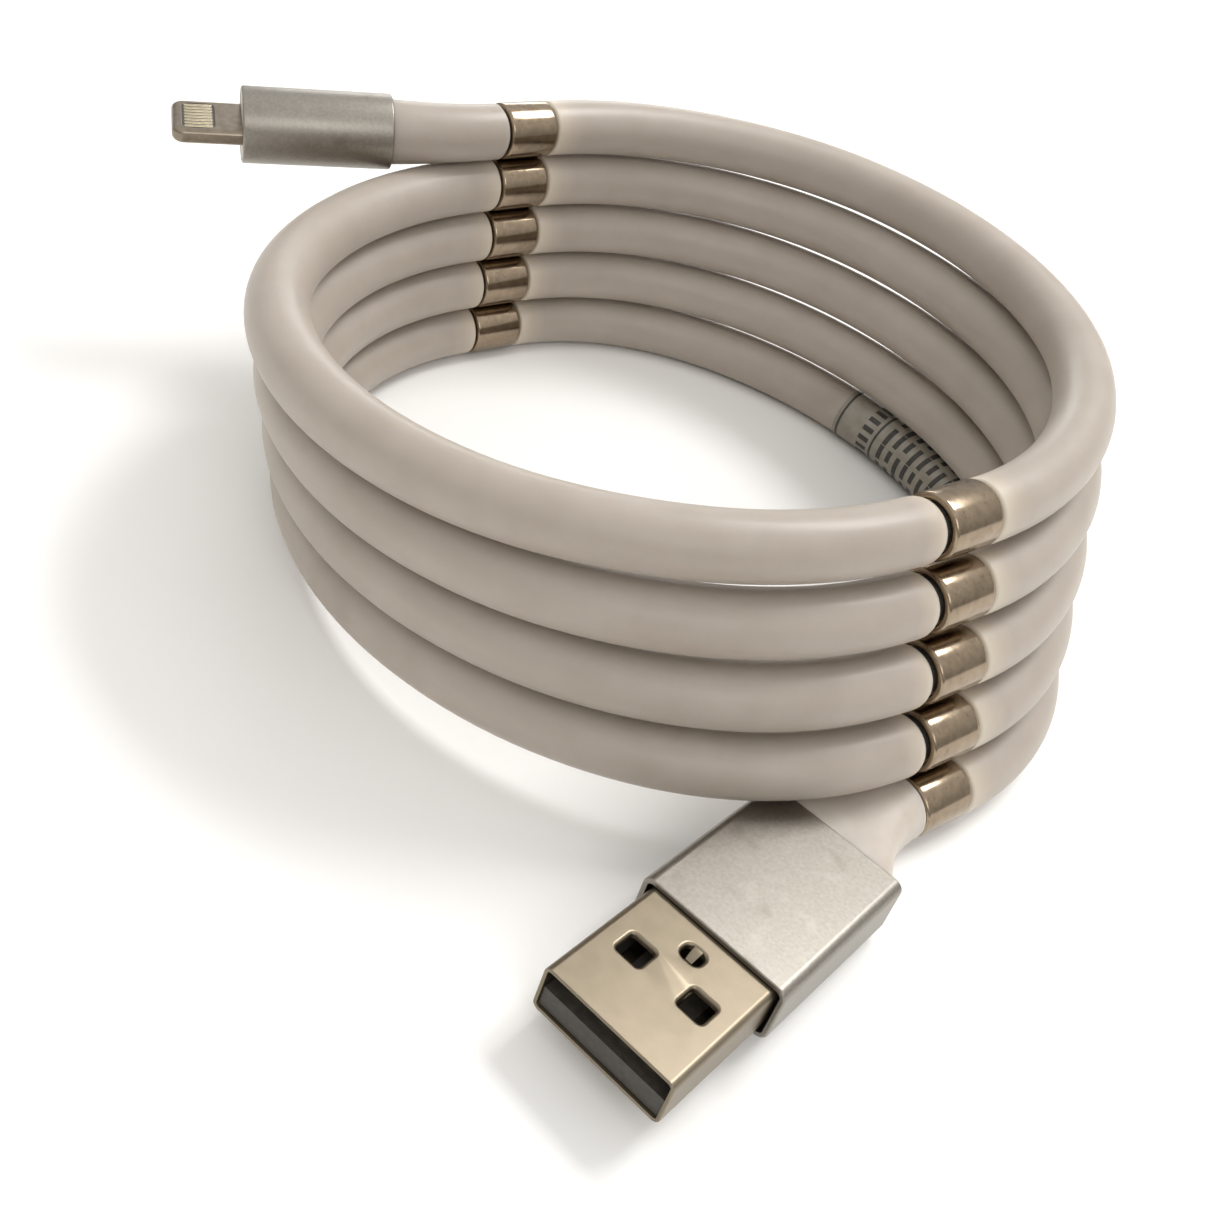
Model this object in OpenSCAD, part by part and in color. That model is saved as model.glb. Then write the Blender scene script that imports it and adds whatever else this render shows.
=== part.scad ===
// Self-winding charging cable.
// Half-turn sleeves follow one continuous core cord, with a loose ring magnet between each sleeve
// and the next. The rings of neighbouring turns grip each other, so the cord stacks into a coil.
// +X points from the left ring stack to the right one, +Z is up, and both plugs reach towards -Y.
// The coil stands on Z = 0, with the origin under the middle of the whole cable.

/* [Coil] */
// Mean radius of a half-turn, to the middle of the cord
coil_r = 35.5; // [30:0.5:38]
// Height of one turn, which is the distance between stacked rings
turn_pitch = 5.9; // [5.9:0.05:6.6]
// Outward step of the left ring stack from one turn to the turn below
left_lean = -0.5; // [-0.6:0.1:0.4]
// Outward step of the right ring stack from one turn to the turn below
right_lean = 2.6; // [0:0.1:3]

/* [Sleeves] */
// Outer diameter of the sleeves
sleeve_d = 5.6; // [5.2:0.1:5.7]
// Bore of the sleeves, round the core cord
sleeve_bore = 3.4; // [3.3:0.1:4]
// Length of the lead between the first ring and the phone plug
lead_len = 12; // [11:0.5:14]
// Angle that the lead bends through, away from the coil and down
lead_bend = 22; // [18:1:25]
// Tilt of the lead's bend below the horizontal
lead_dip = 12; // [0:1:15]
// Diameter of the lead sleeve where it meets the phone plug
lead_end_d = 6.4; // [5.6:0.1:6.4]

/* [Ring magnets] */
// Outer diameter of a ring
ring_d = 5.85; // [5.6:0.05:5.85]
// Bore of a ring
ring_bore = 4.3; // [4.2:0.05:4.4]
// Length of a ring
ring_len = 5.8; // [5.4:0.1:6.4]
// Rounding of a ring's outer edges
ring_edge = 0.35; // [0.1:0.05:0.4]
// Gap between a ring and the sleeve on each side of it
ring_gap = 0.25; // [0.2:0.05:0.5]
// Running clearance between a ring and the bush it turns on, on the radius
ring_clearance = 0.05; // [0.02:0.01:0.1]

/* [Core cord] */
// Outer diameter of the core cord's jacket
core_d = 3.2; // [3.1:0.05:3.25]
// Bore of the jacket, which holds the four wires
core_bore = 2.3; // [2.3:0.05:2.5]
// Diameter of a supply wire over its insulation
supply_wire_d = 1; // [0.8:0.05:1]
// Diameter of a data wire over its insulation
data_wire_d = 0.7; // [0.5:0.05:0.7]

/* [USB-A plug] */
// Width of the steel shell
shell_w = 12; // [12:0.05:12.1]
// Height of the steel shell
shell_h = 4.5; // [4.5:0.05:4.6]
// Length of the shell in front of the housing
shell_len = 12; // [11.75:0.05:12.5]
// Thickness of the shell's sheet steel
shell_t = 0.3; // [0.25:0.05:0.35]
// Width of the aluminium housing
usb_housing_w = 13.6; // [13.2:0.1:15]
// Height of the aluminium housing
usb_housing_h = 5.6; // [5.6:0.1:6]
// Length of the aluminium housing
usb_housing_len = 17; // [15:0.2:20]
// Length of the flared boot
boot_len = 10.5; // [9:0.5:14]
// Angle that the boot bends through, away from the coil and up
boot_bend = 13; // [8:1:16]
// Tilt of the boot's bend above the horizontal
boot_lift = 15; // [12:1:35]
// Roll of the plug about its own length
plug_roll = 3; // [0:0.5:3]

/* [Phone plug] */
// Width of the tab that enters the phone
tab_w = 6.7; // [6.6:0.05:6.7]
// Thickness of the tab
tab_t = 1.5; // [1.45:0.05:1.5]
// Length of the tab in front of the housing
tab_len = 6.8; // [6.6:0.1:7]
// Outer diameter of the aluminium housing
phone_housing_d = 7.5; // [7.5:0.1:8]
// Length of the aluminium housing
phone_housing_len = 15; // [14:0.5:18]

/* [Hidden] */
$fn = 64;

// The top turn is 1, so the rings of a stack are numbered downwards from 1 to turn_count.
turn_count = 5;
middle_turn = 3;
// Half the straight length of cord at a ring
ring_half = ring_len / 2 + ring_gap;
// The cord's jacket and wires are drawn as one stretch for each half-turn, ring and plug, with
// this hairline between one stretch and the next.
stretch_gap = 0.02;

// The lead and the boot are arcs of these radii.
lead_r = lead_len / (lead_bend * PI / 180);
boot_r = boot_len / (boot_bend * PI / 180);

// Plan of each plug about the coil's own axis: its direction, its angle and the middle of its tip
phone_dir = [-sin(lead_bend) * cos(lead_dip), -cos(lead_bend)];
phone_yaw = atan(phone_dir.x / phone_dir.y);
phone_tip = [left_x(1), -ring_half]
    - lead_r * [(1 - cos(lead_bend)) * cos(lead_dip), sin(lead_bend)]
    + (phone_housing_len + tab_len) * phone_dir;
usb_dir = [sin(boot_bend) * cos(boot_lift), -cos(boot_bend)];
usb_yaw = -atan(usb_dir.x / usb_dir.y);
usb_tip = [right_x(turn_count), -ring_half]
    + boot_r * [(1 - cos(boot_bend)) * cos(boot_lift), -sin(boot_bend)]
    + (usb_housing_len + shell_len) * usb_dir;

// Rounding of the tab's tip, seen from above
tab_tip = 1.1;

// Extents of the whole cable about the coil's own axis, which put the origin under its middle
reach_right = usb_tip.x + shell_w / 2 * cos(usb_yaw);
reach_left = phone_tip.x - tab_tip * (1 + phone_dir.x) - (tab_w / 2 - tab_tip) * cos(phone_yaw);
reach_back = ring_half + rise(half_span(left_x(1), right_x(1))) + sleeve_d / 2;
reach_front = usb_tip.y - shell_w / 2 * sin(usb_yaw);
middle_x = (reach_right + reach_left) / 2;
middle_y = (reach_back + reach_front) / 2;

function left_x(turn) = -coil_r - (turn - middle_turn) * left_lean;
function right_x(turn) = coil_r + (turn - middle_turn) * right_lean;
function ring_z(turn) = ring_d / 2 + (turn_count - turn) * turn_pitch;
function half_span(x_a, x_b) = abs(x_a - x_b) / 2;
// Every half-turn has the same length, so what it gains in span it loses in rise.
function rise(span) = 2 * coil_r - span;

// Shared shapes ------------------------------------------------------------------------------

// Three-centred arch from +X over +Y to -X, of half-span `span` and height `height`.
// It sweeps a section whose x points out from the arch and whose y points up.
module arch(span, height) {
    step = (span - height) / (sqrt(2) - 1);
    end_r = span - step / sqrt(2);
    crown_r = end_r + step;
    translate([span - end_r, 0, 0])
        rotate_extrude(angle = 45) translate([end_r, 0]) children();
    translate([0, height - crown_r, 0])
        rotate([0, 0, 45]) rotate_extrude(angle = 90) translate([crown_r, 0]) children();
    translate([end_r - span, 0, 0])
        rotate([0, 0, 135]) rotate_extrude(angle = 45) translate([end_r, 0]) children();
}

// Level half-turn behind the two ring stacks
module back_turn(turn) {
    span = half_span(left_x(turn), right_x(turn));
    translate([(left_x(turn) + right_x(turn)) / 2, ring_half, ring_z(turn)])
        arch(span, rise(span)) children();
}

// Half-turn in front of the stacks, which comes down from a right ring to the left ring below
module front_turn(turn) {
    flat_span = half_span(left_x(turn + 1), right_x(turn));
    tilt = atan(turn_pitch / 2 / flat_span);
    span = flat_span / cos(tilt);
    translate([(left_x(turn + 1) + right_x(turn)) / 2, -ring_half, ring_z(turn) - turn_pitch / 2])
        rotate([0, -tilt, 0]) mirror([0, 1, 0]) arch(span, rise(span)) children();
}

// Straight stretch of cord through one ring, with the section's x pointing out of the coil
module through_ring(x, turn) {
    translate([x, 0, ring_z(turn)])
        mirror([x < 0 ? 1 : 0, 0, 0])
            rotate([90, 0, 0])
                linear_extrude(2 * (ring_half - stretch_gap), center = true) children();
}

// Frame at the coil end of the lead, tilted into the plane that the lead bends in
module at_lead_start() {
    translate([left_x(1), -ring_half, ring_z(1)]) rotate([0, -lead_dip, 0]) children();
}

// Frame at the rear of the phone plug, upright, with the tab towards -Y
module at_phone_plug() {
    at_lead_start() translate([-lead_r, 0, 0]) rotate([0, 0, -lead_bend]) translate([lead_r, 0, 0])
        rotate([0, lead_dip, 0]) children();
}

// Frame at the coil end of the boot, tilted into the plane that the boot bends in
module at_boot_start() {
    translate([right_x(turn_count), -ring_half, ring_z(turn_count)])
        rotate([0, -boot_lift, 0]) children();
}

// Frame at the rear of the USB-A plug, with the mouth towards -Y
module at_usb_plug() {
    at_boot_start() translate([boot_r, 0, 0]) rotate([0, 0, boot_bend]) translate([-boot_r, 0, 0])
        rotate([0, boot_lift - plug_roll, 0]) children();
}

// Arc of cord inside the lead sleeve
module lead_arc() {
    at_lead_start() translate([-lead_r, 0, 0]) rotate([0, 0, -lead_bend])
        rotate_extrude(angle = lead_bend) translate([lead_r, 0])
            rotate(-lead_dip) mirror([1, 0]) children();
}

// Arc of cord inside the boot
module boot_arc() {
    at_boot_start() translate([boot_r, 0, 0]) rotate([0, 0, 180])
        rotate_extrude(angle = boot_bend) translate([boot_r, 0])
            mirror([1, 0]) rotate(-boot_lift) children();
}

// Whole route of the core cord, from the phone plug through every turn to the USB-A plug
module along_cord() {
    for (turn = [1:turn_count]) {
        back_turn(turn) children();
        through_ring(left_x(turn), turn) children();
        through_ring(right_x(turn), turn) children();
    }
    for (turn = [1:turn_count - 1])
        front_turn(turn) children();
    lead_arc() children();
    boot_arc() children();
}

module tube_section(outer_d, inner_d) {
    difference() {
        circle(d = outer_d);
        circle(d = inner_d);
    }
}

module rounded_rect(w, h, r) {
    square([w - 2 * r, h], center = true);
    square([w, h - 2 * r], center = true);
    for (x = [-1, 1], y = [-1, 1])
        translate([x * (w / 2 - r), y * (h / 2 - r)]) circle(r);
}

// Prism along Y between two stations, from a section drawn in X and Z
module along_y(from_y, to_y) {
    translate([0, to_y, 0]) rotate([90, 0, 0]) linear_extrude(to_y - from_y) children();
}

// Straight insulated wire between two points
module wire_link(a, b, d) {
    v = b - a;
    translate(a) rotate([0, acos(v.z / norm(v)), atan2(v.y, v.x)]) cylinder(h = norm(v), d = d);
}

// Flared skin: stations along an arc that bends towards -X, each a superellipse with its own
// width, height and squareness, turned by `turn` in the section, round a round bore.
flare_sides = 24;
flare_steps = 10;

function corner(a, half_w, half_h, power) = [
    half_w * sign(cos(a)) * pow(abs(cos(a)), 2 / power),
    half_h * sign(sin(a)) * pow(abs(sin(a)), 2 / power)];

function on_bend(p, angle, bend_r) = [
    (bend_r + p.x) * cos(angle) - bend_r,
    -(bend_r + p.x) * sin(angle),
    p.y];

function turned(p, angle) = [
    p.x * cos(angle) - p.y * sin(angle),
    p.x * sin(angle) + p.y * cos(angle)];

module flared_skin(bend, bend_r, start_d, end_w, end_h, end_power, flare, turn, bore) {
    outer = [for (i = [0:flare_steps], j = [0:flare_sides - 1])
        let (t = i / flare_steps, a = 360 * (j + 0.5) / flare_sides, grow = pow(t, flare))
        on_bend(turned(corner(a,
            start_d / 2 + (end_w - start_d) / 2 * grow,
            start_d / 2 + (end_h - start_d) / 2 * t,
            2 + (end_power - 2) * t), turn), bend * t, bend_r)];
    inner = [for (i = [0:flare_steps], j = [0:flare_sides - 1])
        let (t = i / flare_steps, a = 360 * (j + 0.5) / flare_sides)
        on_bend([bore / 2 * cos(a), bore / 2 * sin(a)], bend * t, bend_r)];
    count = len(outer);
    last = flare_steps * flare_sides;
    sides = [for (i = [0:flare_steps - 1], j = [0:flare_sides - 1])
        let (a = i * flare_sides + j, b = i * flare_sides + (j + 1) % flare_sides)
        [a, b, b + flare_sides, a + flare_sides]];
    start_face = [for (j = [0:flare_sides - 1])
        let (k = (j + 1) % flare_sides) [j, count + j, count + k, k]];
    end_face = [for (j = [0:flare_sides - 1])
        let (k = (j + 1) % flare_sides) [last + j, last + k, count + last + k, count + last + j]];
    polyhedron(
        points = concat(outer, inner),
        faces = concat(
            [for (f = sides) for (tri = [[f[0], f[1], f[2]], [f[0], f[2], f[3]]]) tri],
            [for (f = sides) for (tri = [[f[2], f[1], f[0]], [f[3], f[2], f[0]]])
                [for (v = tri) v + count]],
            [for (f = concat(start_face, end_face))
                for (tri = [[f[0], f[1], f[2]], [f[0], f[2], f[3]]]) tri]));
}

// Sleeves, rings and core ----------------------------------------------------------------------

module back_sleeve(turn) {
    color("gainsboro") back_turn(turn) tube_section(sleeve_d, sleeve_bore);
}

module front_sleeve(turn) {
    color("gainsboro") front_turn(turn) tube_section(sleeve_d, sleeve_bore);
}

module lead_sleeve() {
    color("gainsboro") at_lead_start()
        flared_skin(lead_bend, lead_r, sleeve_d, lead_end_d, lead_end_d, 2, 1, 0, sleeve_bore);
}

module ring(x, turn) {
    straight = ring_len / 2 - ring_edge;
    wall = (ring_d - ring_bore) / 2;
    color("lightyellow") translate([x, 0, ring_z(turn)]) rotate([90, 0, 0])
        rotate_extrude() translate([ring_bore / 2, 0]) {
            translate([0, -ring_len / 2]) square([wall - ring_edge, ring_len]);
            translate([0, -straight]) square([wall, 2 * straight]);
            for (end = [-1, 1])
                translate([wall - ring_edge, end * straight]) circle(ring_edge);
        }
}

bush_d = ring_bore - 2 * ring_clearance;
bush_bore = core_d + 0.04;
bush_end_gap = 0.1;

module magnet_bushes() {
    color("dimgray")
        for (turn = [1:turn_count], x = [left_x(turn), right_x(turn)])
            translate([x, 0, ring_z(turn)]) rotate([90, 0, 0])
                linear_extrude(2 * (ring_half - bush_end_gap), center = true)
                    tube_section(bush_d, bush_bore);
}

// Length of jacket that enters each plug
jacket_in_usb = 2;
jacket_in_phone = 1.2;

module core_jacket() {
    color("whitesmoke") {
        along_cord() tube_section(core_d, core_bore);
        at_usb_plug() along_y(-jacket_in_usb, -stretch_gap) tube_section(core_d, core_bore);
        at_phone_plug() along_y(-jacket_in_phone, -stretch_gap) tube_section(core_d, core_bore);
    }
}

supply_offset = 0.52;
data_offset = 0.69;

// A wire keeps its place in the core's section along the route, then fans out inside each plug.
module wire(place, d, tail_x, paint) {
    usb_start = [place.x, -jacket_in_usb, place.y];
    color(paint) {
        along_cord() translate(place) circle(d = d);
        at_usb_plug() {
            along_y(-jacket_in_usb, -stretch_gap) translate(place) circle(d = d);
            wire_link(usb_start, [tail_x, contact_tail_y + solder_gap, contact_z], d);
        }
        at_phone_plug()
            along_y(board_rear_y + solder_gap, -stretch_gap)
                translate([-place.x, place.y]) circle(d = d);
    }
}

module power_wire() { wire([supply_offset, 0], supply_wire_d, contact_x[3], "firebrick"); }
module ground_wire() { wire([-supply_offset, 0], supply_wire_d, contact_x[0], "black"); }
module data_plus_wire() { wire([0, data_offset], data_wire_d, contact_x[2], "green"); }
module data_minus_wire() { wire([0, -data_offset], data_wire_d, contact_x[1], "white"); }

// Printed film round the last half-turn, on the crown of its arch. Angles are about the crown's
// centre, from +X.
label_t = 0.06;
label_gap = 0.02;
label_start = 74;
label_turn = 31;

module label_band() {
    span = half_span(left_x(turn_count), right_x(turn_count));
    height = rise(span);
    crown_r = span + (span - height) / (sqrt(2) - 1) * (1 - 1 / sqrt(2));
    middle = (left_x(turn_count) + right_x(turn_count)) / 2;
    color("silver")
        translate([middle, ring_half + height - crown_r, ring_z(turn_count)])
            rotate([0, 0, label_start]) rotate_extrude(angle = label_turn) translate([crown_r, 0])
                tube_section(sleeve_d + 2 * label_gap + 2 * label_t, sleeve_d + 2 * label_gap);
}

// USB-A plug -------------------------------------------------------------------------------------

shell_corner = 0.6;
housing_wall = 0.45;
housing_corner = 0.9;
// The shell reaches this far into the housing, where the inner mould starts.
shell_inside = 6;
shell_front_y = -usb_housing_len - shell_len;
shell_rear_y = -usb_housing_len + shell_inside;
// Lock windows, two on each flat face, and the stamped catch near the housing
window_w = 2.3;
window_l = 2.2;
window_x = 2.9;
window_y = shell_front_y + 6.4;
catch_w = 1.8;
catch_l = 1.5;
catch_y = shell_front_y + 9.6;

tongue_t = 1.9;
tongue_side_gap = 0.05;
tongue_recess = 0.3;
block_len = 6.4;
contact_x = [-3.5, -1, 1, 3.5];
contact_w = 1;
contact_t = 0.15;
contact_front_y = shell_front_y + 1.4;
contact_tail_y = shell_rear_y + 1.5;
contact_z = contact_t / 2;
solder_gap = 0.1;

module usb_shell() {
    color("tan") at_usb_plug() difference() {
        along_y(shell_front_y, shell_rear_y) rounded_rect(shell_w, shell_h, shell_corner);
        along_y(shell_front_y - 1, shell_rear_y + 1)
            rounded_rect(shell_w - 2 * shell_t, shell_h - 2 * shell_t, shell_corner - shell_t);
        for (x = [-1, 1])
            translate([x * window_x, window_y, 0])
                cube([window_w, window_l, 2 * shell_h], center = true);
        translate([0, catch_y, shell_h / 2]) cube([catch_w, catch_l, 3 * shell_t], center = true);
    }
}

module usb_insulator() {
    inside_w = shell_w - 2 * shell_t - 2 * tongue_side_gap;
    inside_h = shell_h - 2 * shell_t - 2 * tongue_side_gap;
    block_y = shell_rear_y - block_len;
    color("dimgray") at_usb_plug() difference() {
        union() {
            translate([-inside_w / 2, block_y, -inside_h / 2]) cube([inside_w, block_len, inside_h]);
            translate([-inside_w / 2, shell_front_y + tongue_recess, -inside_h / 2])
                cube([inside_w, block_y - shell_front_y, inside_h / 2]);
        }
        for (x = contact_x)
            translate([x - contact_w / 2, contact_front_y, 0])
                cube([contact_w, shell_len + shell_inside, contact_t]);
    }
}

module usb_contacts() {
    color("gold") at_usb_plug()
        for (x = contact_x)
            translate([x - contact_w / 2, contact_front_y, 0])
                cube([contact_w, contact_tail_y - contact_front_y, contact_t]);
}

mould_gap = 0.05;
mould_pocket_w = 10.4;
mould_pocket_h = 2.6;

module usb_inner_mould() {
    inner_w = usb_housing_w - 2 * housing_wall - 2 * mould_gap;
    inner_h = usb_housing_h - 2 * housing_wall - 2 * mould_gap;
    mould_front_y = shell_rear_y + mould_gap;
    color("ivory") at_usb_plug() difference() {
        along_y(mould_front_y, 0) rounded_rect(inner_w, inner_h, housing_corner - housing_wall);
        translate([-mould_pocket_w / 2, mould_front_y - 1, -mould_pocket_h / 2])
            cube([mould_pocket_w, 1 - mould_front_y - jacket_in_usb, mould_pocket_h]);
        along_y(-jacket_in_usb - 1, 1) circle(d = core_d + 2 * mould_gap);
    }
}

module usb_housing() {
    color("lightgray") at_usb_plug() difference() {
        along_y(-usb_housing_len, 0)
            rounded_rect(usb_housing_w, usb_housing_h, housing_corner);
        along_y(-usb_housing_len - 1, 1)
            rounded_rect(usb_housing_w - 2 * housing_wall, usb_housing_h - 2 * housing_wall,
                housing_corner - housing_wall);
    }
}

boot_end_w = 12.4;
boot_end_h = 5;
boot_power = 5;
boot_flare = 1.9;

module usb_boot() {
    color("whitesmoke") at_boot_start() mirror([1, 0, 0])
        flared_skin(boot_bend, boot_r, sleeve_d, boot_end_w, boot_end_h, boot_power, boot_flare,
            boot_lift - plug_roll, sleeve_bore);
}

// Phone plug -------------------------------------------------------------------------------------

tab_front_y = -phone_housing_len - tab_len;
tab_rear_y = -phone_housing_len + 4;
tab_edge = 0.7;
insert_w = 5.2;
insert_l = 3.2;
insert_y = tab_front_y + 2.6;
insert_t = 1.36;
pad_count = 8;
pad_pitch = 0.62;
pad_w = 0.42;
pad_l = 2.8;
pad_t = 0.06;
board_w = 5;
board_t = 0.6;
board_rear_y = -2.6;
board_front_y = tab_rear_y + 0.1;
chip_size = [2.4, 2.6, 0.7];
phone_wall = 0.3;
phone_edge = 0.25;

module phone_tab() {
    color("darkgray") at_phone_plug() difference() {
        intersection() {
            along_y(tab_front_y, tab_rear_y) rounded_rect(tab_w, tab_t, tab_edge);
            translate([0, (tab_front_y + tab_rear_y) / 2, -tab_t])
                linear_extrude(2 * tab_t)
                    rounded_rect(tab_w, tab_rear_y - tab_front_y, tab_tip);
        }
        translate([0, insert_y, 0]) cube([insert_w, insert_l, 2 * tab_t], center = true);
    }
}

module phone_contact_insert() {
    color("dimgray") at_phone_plug()
        translate([0, insert_y, 0]) cube([insert_w, insert_l, insert_t], center = true);
}

module phone_contacts() {
    color("gold") at_phone_plug()
        for (i = [0:pad_count - 1], side = [-1, 1])
            translate([(i - (pad_count - 1) / 2) * pad_pitch, insert_y,
                side * (insert_t + pad_t) / 2])
                cube([pad_w, pad_l, pad_t], center = true);
}

module phone_board() {
    color("darkgreen") at_phone_plug()
        translate([-board_w / 2, board_front_y, -board_t / 2])
            cube([board_w, board_rear_y - board_front_y, board_t]);
}

module phone_chip() {
    color("black") at_phone_plug()
        translate([0, (board_front_y + board_rear_y) / 2, (board_t + chip_size.z) / 2])
            cube(chip_size, center = true);
}

module phone_inner_mould() {
    pocket_h = 2.8;
    pocket_w = board_w + 0.3;
    color("ivory") at_phone_plug() difference() {
        along_y(mould_gap - phone_housing_len, 0)
            circle(d = phone_housing_d - 2 * phone_wall - 2 * mould_gap);
        along_y(-phone_housing_len - 1, tab_rear_y)
            rounded_rect(tab_w, tab_t, tab_edge);
        translate([-pocket_w / 2, tab_rear_y, -pocket_h / 2])
            cube([pocket_w, -jacket_in_phone - tab_rear_y, pocket_h]);
        along_y(-jacket_in_phone - 1, 1) circle(d = core_d + 2 * mould_gap);
    }
}

module phone_housing() {
    outer_r = phone_housing_d / 2;
    color("lightgray") at_phone_plug() rotate([90, 0, 0])
        rotate_extrude() translate([outer_r - phone_wall, 0]) {
            square([phone_wall - phone_edge, phone_housing_len]);
            translate([0, phone_edge])
                square([phone_wall, phone_housing_len - 2 * phone_edge]);
            for (y = [phone_edge, phone_housing_len - phone_edge])
                intersection() {
                    translate([phone_wall - phone_edge, y]) circle(phone_edge);
                    square([phone_wall, phone_housing_len]);
                }
        }
}

// Assembly ---------------------------------------------------------------------------------------

module placed() {
    translate([-middle_x, -middle_y, 0]) children();
}

for (turn = [1:turn_count]) {
    placed() back_sleeve(turn);
    placed() ring(left_x(turn), turn);
    placed() ring(right_x(turn), turn);
}
for (turn = [1:turn_count - 1])
    placed() front_sleeve(turn);
placed() lead_sleeve();
placed() magnet_bushes();
placed() core_jacket();
placed() power_wire();
placed() ground_wire();
placed() data_plus_wire();
placed() data_minus_wire();
placed() label_band();
placed() usb_shell();
placed() usb_insulator();
placed() usb_contacts();
placed() usb_inner_mould();
placed() usb_housing();
placed() usb_boot();
placed() phone_tab();
placed() phone_contact_insert();
placed() phone_contacts();
placed() phone_board();
placed() phone_chip();
placed() phone_inner_mould();
placed() phone_housing();
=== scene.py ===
"""Looks of the self-winding charging cable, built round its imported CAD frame.

Lengths are in millimetres about the coil's own axis, as in the CAD source, and become metres in
the row frame when a mesh is made. The driving dimensions repeat those of the CAD source, except
that the soft sleeves and boot are up to 0.14 mm wider across.
"""

import math

import bmesh
import bpy
from mathutils import Matrix, Vector, noise


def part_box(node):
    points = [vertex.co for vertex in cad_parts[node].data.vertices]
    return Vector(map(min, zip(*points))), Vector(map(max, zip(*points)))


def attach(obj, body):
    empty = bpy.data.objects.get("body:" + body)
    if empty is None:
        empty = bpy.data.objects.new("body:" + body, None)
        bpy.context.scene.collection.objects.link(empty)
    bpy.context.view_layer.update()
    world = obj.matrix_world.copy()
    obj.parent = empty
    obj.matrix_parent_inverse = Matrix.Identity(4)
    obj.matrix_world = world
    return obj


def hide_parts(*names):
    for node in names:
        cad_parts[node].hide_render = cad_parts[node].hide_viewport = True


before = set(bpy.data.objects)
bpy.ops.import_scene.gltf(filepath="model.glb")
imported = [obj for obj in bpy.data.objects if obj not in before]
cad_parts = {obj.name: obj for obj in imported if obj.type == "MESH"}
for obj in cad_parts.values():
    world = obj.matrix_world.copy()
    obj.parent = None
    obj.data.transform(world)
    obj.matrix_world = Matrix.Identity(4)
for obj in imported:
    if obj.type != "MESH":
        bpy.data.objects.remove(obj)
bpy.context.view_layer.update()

MM = 0.001

# Coil
COIL_R = 35.5
TURN_PITCH = 5.9
LEFT_LEAN = -0.5
RIGHT_LEAN = 2.6
TURN_COUNT = 5
MIDDLE_TURN = 3

# Sleeves, rings and core
SLEEVE_D = 5.74
SLEEVE_BORE = 3.4
RING_D = 5.85
RING_BORE = 4.3
RING_LEN = 5.8
RING_GAP = 0.25
CORE_D = 3.2
RING_HALF = RING_LEN / 2 + RING_GAP

# Lead and phone plug
LEAD_LEN = 12
LEAD_BEND = math.radians(22)
LEAD_DIP = math.radians(12)
LEAD_END_D = 6.5
TAB_W = 6.7
TAB_T = 1.5
TAB_LEN = 6.8
PHONE_HOUSING_D = 7.5
PHONE_HOUSING_LEN = 15
JACKET_IN_PHONE = 1.2

# Boot and USB-A plug
BOOT_LEN = 10.5
BOOT_BEND = math.radians(13)
BOOT_LIFT = math.radians(15)
PLUG_ROLL = math.radians(3)
SHELL_W = 12
SHELL_H = 4.5
SHELL_LEN = 12
SHELL_T = 0.3
SHELL_INSIDE = 6
USB_HOUSING_W = 13.6
USB_HOUSING_H = 5.6
USB_HOUSING_LEN = 17
JACKET_IN_USB = 2

LEAD_R = LEAD_LEN / LEAD_BEND
BOOT_R = BOOT_LEN / BOOT_BEND
UP = Vector((0, 0, 1))


def left_x(turn):
    return -COIL_R - (turn - MIDDLE_TURN) * LEFT_LEAN


def right_x(turn):
    return COIL_R + (turn - MIDDLE_TURN) * RIGHT_LEAN


def ring_z(turn):
    return RING_D / 2 + (TURN_COUNT - turn) * TURN_PITCH


def box_centre(node):
    low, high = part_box(node)
    return (Vector(low) + Vector(high)) / 2


# The CAD source puts its origin under the cable's middle, so one ring's centre gives the shift.
FIRST_RING = Vector((left_x(1), 0, ring_z(1)))
SHIFT = box_centre("left_ring_1") / MM - FIRST_RING


def in_row_frame(point):
    return (point + SHIFT) * MM


# Camera and light ---------------------------------------------------------------------------

CAMERA_PLACE = Vector((78.195, -90.377, 90.784))
CAMERA_TURN = (49.189, -12.968, 56.9)
CAMERA_LENS = 42.19
CAMERA_SENSOR = 36
CAMERA_SHIFT = (0.0581, -0.0448)


def make_camera():
    data = bpy.data.cameras.new("camera")
    data.lens = CAMERA_LENS
    data.sensor_width = CAMERA_SENSOR
    data.shift_x, data.shift_y = CAMERA_SHIFT
    data.clip_start = 0.005
    data.clip_end = 30
    camera = bpy.data.objects.new("camera", data)
    camera.location = in_row_frame(CAMERA_PLACE)
    camera.rotation_euler = [math.radians(angle) for angle in CAMERA_TURN]
    bpy.context.collection.objects.link(camera)
    bpy.context.scene.camera = camera


def make_softbox(name, place, size, power):
    """Area light at place, in metres, which faces the row frame's origin"""
    data = bpy.data.lights.new(name, "AREA")
    data.shape = "RECTANGLE"
    data.size, data.size_y = size
    data.energy = power
    light = bpy.data.objects.new(name, data)
    light.location = place
    light.rotation_euler = (-Vector(place)).to_track_quat("-Z", "Y").to_euler()
    bpy.context.collection.objects.link(light)


WORLD_STRENGTH = 1.02
# Each stop is a height on the sky, from 0 at the horizon to 1 overhead, and its colour.
WORLD_STOPS = ((0.08, (0.45, 0.44, 0.42, 1)), (0.75, (1, 0.99, 0.97, 1)))


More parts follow.
